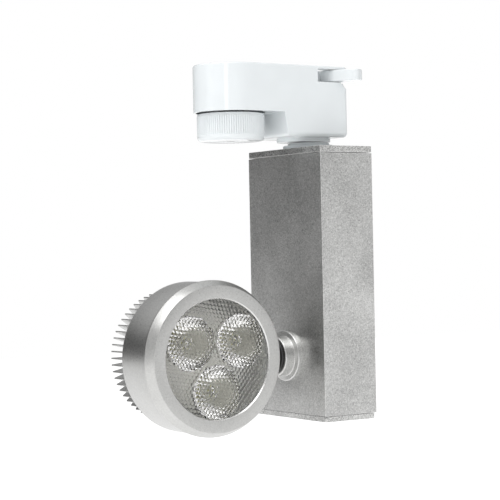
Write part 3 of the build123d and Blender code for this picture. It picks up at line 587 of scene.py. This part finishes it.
def lens_plate():
    """The three-in-one optic: a plate of hexagonal beads with three collimating cones behind it."""
    work = bmesh.new()
    edge = BEAD_PITCH / math.sqrt(3)
    top = bead_height(0.0)
    rim = LENS_R - 0.02
    limit = OPENING_R + 2.2
    step_a = Vector((BEAD_PITCH, 0))
    step_b = Vector((BEAD_PITCH / 2, BEAD_PITCH * math.sqrt(3) / 2))
    reach = int(limit / BEAD_PITCH) + 3
    for i in range(-reach, reach + 1):
        for j in range(-reach, reach + 1):
            centre = step_a * i + step_b * j
            if centre.length > limit:
                continue
            rings = [[work.verts.new((centre.x, centre.y, LENS_FRONT))]]
            for ring in range(1, BEAD_RINGS + 1):
                share = ring / BEAD_RINGS
                loop = []
                for k in range(12):
                    bearing = math.pi / 6 * k
                    off_middle = (bearing % (math.pi / 3)) - math.pi / 6
                    hexagonal = edge * math.cos(math.pi / 6) / math.cos(off_middle)
                    d = share * hexagonal
                    away = bearing + math.pi / 6
                    spot = centre + Vector((math.cos(away), math.sin(away))) * d
                    drop = top - bead_height(d)
                    loop.append(work.verts.new((spot.x, spot.y, LENS_FRONT + drop)))
                rings.append(loop)
            for k in range(12):
                n = (k + 1) % 12
                work.faces.new((rings[0][0], rings[1][k], rings[1][n]))
                for low, high in zip(rings[1:], rings[2:]):
                    work.faces.new((low[k], high[k], high[n], low[n]))
    bmesh.ops.remove_doubles(work, verts=work.verts, dist=0.002)
    # Pull what lies past the rim in to a circle, then close the plate behind
    spin = Matrix.Rotation(BEAD_TILT, 4, "Z")
    for vert in work.verts:
        vert.co = spin @ vert.co
    gone = [f for f in work.faces if all(Vector(v.co.xy).length > rim for v in f.verts)]
    bmesh.ops.delete(work, geom=gone, context="FACES")
    for vert in work.verts:
        r = Vector(vert.co.xy).length
        if r > rim:
            vert.co.xy *= rim / r
            vert.co.z = LENS_FRONT + top
    bmesh.ops.remove_doubles(work, verts=work.verts, dist=0.004)
    bmesh.ops.dissolve_degenerate(work, edges=work.edges, dist=0.002)
    border = [e for e in work.edges if e.is_boundary]
    grown = bmesh.ops.extrude_edge_only(work, edges=border)["geom"]
    for item in grown:
        if isinstance(item, bmesh.types.BMVert):
            item.co.z = LENS_BACK
    back_edges = [e for e in grown if isinstance(e, bmesh.types.BMEdge) and e.is_boundary]
    # Three cones, each a run of circles from the plate's back to the emitter's hollow
    profile = []
    for k in range(CONE_STEPS + 1):
        share = k / CONE_STEPS
        r = CONE_MOUTH_R + (CONE_FOOT_R - CONE_MOUTH_R) * share + CONE_BULGE * math.sin(math.pi * share)
        profile.append((r, LENS_BACK + CONE_DEPTH * share))
    foot = LENS_BACK + CONE_DEPTH
    profile += [(3.0, foot), (2.6, foot - 4.0), (1.8, foot - 4.45)]
    for angle in OPTIC_ANGLES:
        cx = OPTIC_CIRCLE_R * math.cos(math.radians(angle))
        cy = -OPTIC_CIRCLE_R * math.sin(math.radians(angle))
        rows = []
        for r, h in profile:
            row = []
            for k in range(CONE_SEGMENTS):
                turn = 2 * math.pi * k / CONE_SEGMENTS
                row.append(work.verts.new((cx + r * math.cos(turn), cy + r * math.sin(turn), h)))
            rows.append(row)
        tip = work.verts.new((cx, cy, foot - 4.6))
        for k in range(CONE_SEGMENTS):
            n = (k + 1) % CONE_SEGMENTS
            for low, high in zip(rows, rows[1:]):
                work.faces.new((low[k], low[n], high[n], high[k])).material_index = 1
            work.faces.new((rows[-1][k], rows[-1][n], tip))
            back_edges.append(work.edges.get((rows[0][k], rows[0][n])))
    bmesh.ops.triangle_fill(work, use_beauty=True, use_dissolve=False, edges=back_edges, normal=(0, 0, 1))
    bmesh.ops.recalc_face_normals(work, faces=work.faces)
    mesh = bpy.data.meshes.new("lens")
    work.transform(ALONG_LAMP @ Matrix.Scale(MM, 4))
    work.to_mesh(mesh)
    work.free()
    mesh.materials.append(acrylic)
    # Second material, on the cone walls: grey-tinted acrylic as painted shade.
    mesh.materials.append(cone_wall_painted_shade)
    mesh.shade_smooth()
    mesh.set_sharp_from_angle(angle=math.radians(30))
    obj = bpy.data.objects.new("beaded_lens", mesh)
    scene.collection.objects.link(obj)
    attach(obj, "lamp")
    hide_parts("lens_plate", "optics")


def emitters():
    """Square pale bases with rounded corners, each under a yellow phosphor dome."""
    low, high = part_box("emitters")
    board = high.y / MM
    for index, angle in enumerate(OPTIC_ANGLES):
        x = lamp_axis.x / MM + OPTIC_CIRCLE_R * math.cos(math.radians(angle))
        z = lamp_axis.z / MM + OPTIC_CIRCLE_R * math.sin(math.radians(angle))
        place = Matrix.Translation((x * MM, 0, z * MM)) @ Matrix.Rotation(-math.pi / 2, 4, "X")
        dome = [(0, board - 0.4)] + [(1.45, board - 0.4), (1.45, board - 0.8)]
        for k in range(1, 8):
            rise = math.pi / 2 * k / 8
            dome.append((1.3 * math.cos(rise), board - 0.8 - 1.15 * math.sin(rise)))
        dome.append((0, board - 1.95))
        vertices, faces = turned_mesh(dome, 48, place)
        piece(f"emitter_dome_{index}", vertices, faces, "lamp", [], phosphor)
        corners = []
        for quarter in range(4):
            for k in range(5):
                bend = math.pi / 2 * (quarter + k / 4)
                cx = 1.35 * (1 if quarter in (0, 3) else -1)
                cy = 1.35 * (1 if quarter in (0, 1) else -1)
                corners.append((cx + 0.4 * math.cos(bend), cy + 0.4 * math.sin(bend)))
        rows, vertices, faces = [], [], []
        for h, shrink in ((board, 0.0), (board - 0.6, 0.0), (board - 0.7, 0.1)):
            start = len(vertices)
            scale = 1 - shrink / 1.75
            vertices += [place @ Vector((cx * scale * MM, cy * scale * MM, h * MM)) for cx, cy in corners]
            rows.append(list(range(start, len(vertices))))
        for lower, upper in zip(rows, rows[1:]):
            for k in range(len(lower)):
                n = (k + 1) % len(lower)
                faces.append([lower[k], lower[n], upper[n], upper[k]])
        faces += [rows[0][::-1], rows[-1]]
        replaced = ["emitters"] if index == 0 else []
        piece(f"emitter_base_{index}", vertices, faces, "lamp", replaced, emitter_base)


# ---------------------------------------------------------------- turned parts of the two pivots


def turned_piece(node, corners, place, finish, segments=128, angle=30):
    """A turned part from its rounded outline, in place of its CAD node."""
    vertices, faces = turned_mesh(rounded(corners), segments, place)
    body = body_of(nodes[node])[0]
    return piece(node + "_turned", vertices, faces, body, [node], finish, angle)


def swivel_collar():
    """White neck and flange under the adapter."""
    low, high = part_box("swivel_collar")
    axis = Matrix.Translation(((low.x + high.x) / 2, (low.y + high.y) / 2, 0))
    bottom, top = low.z / MM, high.z / MM
    flange_r = (high.x - low.x) / 2 / MM
    corners = [
        (5.1, bottom, 0),
        (flange_r, bottom, 0.15),
        (flange_r, bottom + 1.6, 0.45),
        (9.15, bottom + 1.6, 0.35),
        (9.15, top, 0.2),
        (5.1, top, 0),
    ]
    turned_piece("swivel_collar", corners, axis, white)


def tilt_pivot():
    """Boss, black washer and a stem coloured black as painted shade in the gap between the case and the lamp.
    """
    pivot = middle("pivot_boss")
    along = Matrix.Translation((0, pivot.y, pivot.z)) @ Matrix.Rotation(math.pi / 2, 4, "Y")
    low, high = (corner.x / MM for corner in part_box("pivot_boss"))
    boss = [
        (3.1, low, 0),
        (8.6, low, 0.6),
        (8.6, high - 1.7, 0.35),
        (11.0, high - 1.7, 0.5),
        (11.0, high, 0),
        (3.1, high, 0),
    ]
    turned_piece("pivot_boss", boss, along, silver_boss)
    low, high = (corner.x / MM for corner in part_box("friction_washer"))
    washer = [(3.0, low, 0), (7.4, low, 0.25), (7.4, high, 0.25), (3.0, high, 0)]
    turned_piece("friction_washer", washer, along, black)
    low, high = (corner.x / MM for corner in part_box("lamp_stem"))
    stem = [
        (3.0, low, 0),
        (6.2, low, 0),
        (6.2, high - 1.6, 0.2),
        (5.7, high - 1.3, 0.2),
        (5.7, high, 0.2),
        (3.0, high, 0),
    ]
    # The stem takes black plastic: painted shade for the shadowed gap, not the stem's own colour.
    turned_piece("lamp_stem", stem, along, black)


# ---------------------------------------------------------------- knob

RIB_COUNT = 90
RIB_DEPTH = 0.42
GROOVE_PLACE = 0.775  # share of a rib's pitch
GROOVE_REACH = 0.225
RIB_SAMPLES = (0.0, 0.28, 0.50, 0.58, 0.66, 0.72, 0.775, 0.83, 0.89, 0.97)


def ring_knob():
    """Round knob with fine upright ribs that fade out at the rim and the rounded foot."""
    low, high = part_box("ring_knob")
    axis = Matrix.Translation(((low.x + high.x) / 2, (low.y + high.y) / 2, 0))
    bottom, top = low.z / MM, high.z / MM
    radius = 14.5
    wall = 1.8
    corners = [
        (radius - wall, top, 0.3),
        (radius - 0.1, top, 0.3),
        (radius - 0.1, top - 0.75, 0),
        (radius, top - 0.95, 0),
        (radius, top - 1.25, 0),
        (radius, bottom + 2.7, 0),
        (radius, bottom + 2.35, 0),
        (radius - 0.1, bottom + 2.1, 0),
        (radius - 0.1, bottom, 1.6),
        (2.9, bottom, 0.1),
        (1.6, bottom + 1.3, 0),
        (1.6, bottom + wall, 0),
        (radius - wall, bottom + wall, 0.6),
    ]
    outline = rounded(corners)
    ribbed = {i for i, (r, h) in enumerate(outline) if r > radius - 0.02 and bottom + 2.5 < h < top - 1.1}
    vertices, rows = [], []
    turns = [2 * math.pi * (i + share) / RIB_COUNT for i in range(RIB_COUNT) for share in RIB_SAMPLES]
    for index, (r, h) in enumerate(outline):
        row = []
        for k, turn in enumerate(turns):
            away = abs(RIB_SAMPLES[k % len(RIB_SAMPLES)] - GROOVE_PLACE)
            depth = 0
            if away < GROOVE_REACH and index in ribbed:
                depth = RIB_DEPTH * (0.5 + 0.5 * math.cos(math.pi * away / GROOVE_REACH))
            row.append(len(vertices))
            x = (r - depth) * math.cos(turn) * MM
            y = (r - depth) * math.sin(turn) * MM
            vertices.append(axis @ Vector((x, y, h * MM)))
        rows.append(row)
    faces = []
    for i in range(len(rows)):
        a, b = rows[i], rows[(i + 1) % len(rows)]
        for k in range(len(a)):
            n = (k + 1) % len(a)
            faces.append([a[k], a[n], b[n], b[k]])
    piece("ring_knob_ribbed", vertices, faces, "contact_head", ["ring_knob"], white, 40)


SPRING_WIRE_R = 0.5 * MM
SPRING_PITCH = 3.4 * MM


def coil_spring():
    """Return spring: a coil held under the housing's deck."""
    low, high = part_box("return_spring")
    centre = [(a + b) / 2 for a, b in zip(low, high)]
    wire = SPRING_WIRE_R
    outer = (high[0] - low[0]) / 2 - wire
    rise = high[2] - low[2] - 2 * wire
    turns = rise / SPRING_PITCH
    steps, around = int(48 * turns), 10
    vertices, faces = [], []
    for i in range(steps + 1):
        angle = 2 * math.pi * turns * i / steps
        height = low[2] + wire + rise * i / steps
        for k in range(around):
            a = 2 * math.pi * k / around
            r = outer + wire * math.cos(a)
            x = centre[0] + r * math.cos(angle)
            y = centre[1] + r * math.sin(angle)
            vertices.append(Vector((x, y, height + wire * math.sin(a))))
    for i in range(steps):
        for k in range(around):
            n = (k + 1) % around
            faces.append([i * around + k, i * around + n, (i + 1) * around + n, (i + 1) * around + k])
    faces.append([around - 1 - k for k in range(around)])
    faces.append([steps * around + k for k in range(around)])
    obj = piece("return_spring_coil", vertices, faces, "adapter", ["return_spring"], steel, 40)
    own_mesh(obj)


for node in ("top_cap", "bottom_cap"):
    nodes[node].data.materials.clear()
    nodes[node].data.materials.append(silver_cap)

coil_spring()
bezel_ring()
heat_sink()
lens_plate()
emitters()
swivel_collar()
tilt_pivot()
ring_knob()
soften("driver_case", 0.38, 2, edge=painted_highlight_edge)
soften("top_cap", 0.3, 3, edge=painted_highlight_edge)
soften("bottom_cap", 0.3, 3, edge=painted_highlight_edge)
soften("lock_lever", 0.15)
soften("adapter_housing", 0.25)


# ---------------------------------------------------------------- studio


CAMERA_AZIMUTH = math.radians(-33.16)
CAMERA_ROLL = math.radians(1.14)
CAMERA_PLACE = Vector((-394.65, -590.05, -79.05)) * MM
FIELD_LENS = 117.76  # on a 36 mm sensor


def add_camera():
    """The camera, level, turned a little about its own axis."""
    data = bpy.data.cameras.new("camera")
    data.lens = FIELD_LENS
    data.sensor_width = 36.0
    data.clip_start = 0.02
    data.clip_end = 50.0
    camera = bpy.data.objects.new("camera", data)
    look = Vector((-math.sin(CAMERA_AZIMUTH), math.cos(CAMERA_AZIMUTH), 0))
    turn = look.to_track_quat("-Z", "Y").to_matrix() @ Matrix.Rotation(-CAMERA_ROLL, 3, "Z")
    camera.matrix_world = Matrix.Translation(CAMERA_PLACE) @ turn.to_4x4()
    scene.collection.objects.link(camera)
    scene.camera = camera


LIT_POINT = Vector((0, 0, -0.08))


def add_area(name, place, size, power):
    """A soft rectangular lamp that faces the middle of the object."""
    data = bpy.data.lights.new(name, "AREA")
    data.shape = "RECTANGLE"
    data.size, data.size_y = size
    data.energy = power
    lamp = bpy.data.objects.new(name, data)
    lamp.location = place
    lamp.rotation_mode = "QUATERNION"
    lamp.rotation_quaternion = (LIT_POINT - Vector(place)).to_track_quat("-Z", "Y")
    scene.collection.objects.link(lamp)


DARK_SIDE = Vector((-0.54, 0.84, 0.05))  # where the case's wide face mirrors to


def add_world():
    """Even pale surroundings with a dark card behind on the left; the camera sees plain white."""
    world = bpy.data.worlds.new("studio")
    scene.world = world
    world.use_nodes = True
    tree = world.node_tree
    background = tree.nodes["Background"]
    direction = tree.nodes.new("ShaderNodeTexCoord")
    split = tree.nodes.new("ShaderNodeSeparateXYZ")
    tree.links.new(direction.outputs["Generated"], split.inputs["Vector"])

    def height_ramp(stops):
        """Grey level by height, from straight down (0) to straight up (1)."""
        height = tree.nodes.new("ShaderNodeMapRange")
        height.inputs["From Min"].default_value = -1.0
        tree.links.new(split.outputs["Z"], height.inputs["Value"])
        ramp = tree.nodes.new("ShaderNodeValToRGB")
        tree.links.new(height.outputs["Result"], ramp.inputs["Fac"])
        elements = ramp.color_ramp.elements
        for index, (position, level) in enumerate(stops):
            element = elements[index] if index < 2 else elements.new(position)
            element.position = position
            element.color = (level, level, level, 1)
        return ramp.outputs["Color"]

    dark_levels = ((0.0, 0.85), (0.47, 0.42), (0.50, 0.10), (0.61, 0.07), (0.72, 0.65), (0.86, 1.0))
    bright_levels = ((0.0, 0.80), (0.46, 0.78), (0.56, 0.62), (0.66, 0.40), (0.78, 0.65), (0.86, 1.0))
    dark_side = height_ramp(dark_levels)
    bright_side = height_ramp(bright_levels)
    dot = tree.nodes.new("ShaderNodeVectorMath")
    dot.operation = "DOT_PRODUCT"
    tree.links.new(direction.outputs["Generated"], dot.inputs[0])
    dot.inputs[1].default_value = DARK_SIDE
    blend = tree.nodes.new("ShaderNodeMapRange")
    blend.inputs["From Min"].default_value = 0.62
    blend.inputs["From Max"].default_value = 0.90
    tree.links.new(dot.outputs["Value"], blend.inputs["Value"])
    sides = tree.nodes.new("ShaderNodeMixRGB")
    tree.links.new(blend.outputs["Result"], sides.inputs["Fac"])
    tree.links.new(bright_side, sides.inputs[1])
    tree.links.new(dark_side, sides.inputs[2])
    tree.links.new(sides.outputs["Color"], background.inputs["Color"])
    background.inputs["Strength"].default_value = 0.92
    seen = tree.nodes.new("ShaderNodeBackground")
    seen.inputs["Color"].default_value = (1, 1, 1, 1)
    path = tree.nodes.new("ShaderNodeLightPath")
    mix = tree.nodes.new("ShaderNodeMixShader")
    tree.links.new(path.outputs["Is Camera Ray"], mix.inputs["Fac"])
    tree.links.new(background.outputs["Background"], mix.inputs[1])
    tree.links.new(seen.outputs["Background"], mix.inputs[2])
    tree.links.new(mix.outputs["Shader"], tree.nodes["World Output"].inputs["Surface"])


FLOOR_DROP = 0.45
FLOOR_SIZE = 14


def add_floor():
    """A wide pale floor, far enough below that nothing shades it."""
    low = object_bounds()[0].z - FLOOR_DROP
    bpy.ops.mesh.primitive_plane_add(size=FLOOR_SIZE, location=(0, 0, low))
    floor = bpy.context.object
    floor.name = "floor"
    paper = Shader("floor paper", (0.85, 0.85, 0.85), 0.9)
    fibre = paper.noise(2 * MM, detail=2.0)
    paper.bump(fibre, 0.05 * MM, 0.2)
    paper.set("Emission Color", (1, 1, 1, 1))
    paper.set("Emission Strength", 0.55)
    floor.data.materials.append(paper.material)


add_camera()
add_world()
add_floor()
add_area("overhead", (-0.45, -0.15, 0.85), (0.9, 0.9), 7.0)
add_area("front strip", (-0.90, -0.92, 0.10), (0.24, 1.0), 2.0)
add_area("left card", (-1.3, 0.15, -0.05), (0.5, 1.2), 0.7)
add_area("right fill", (0.8, -0.9, 0.1), (0.8, 0.8), 0.6)
scene.view_settings.view_transform = "Standard"
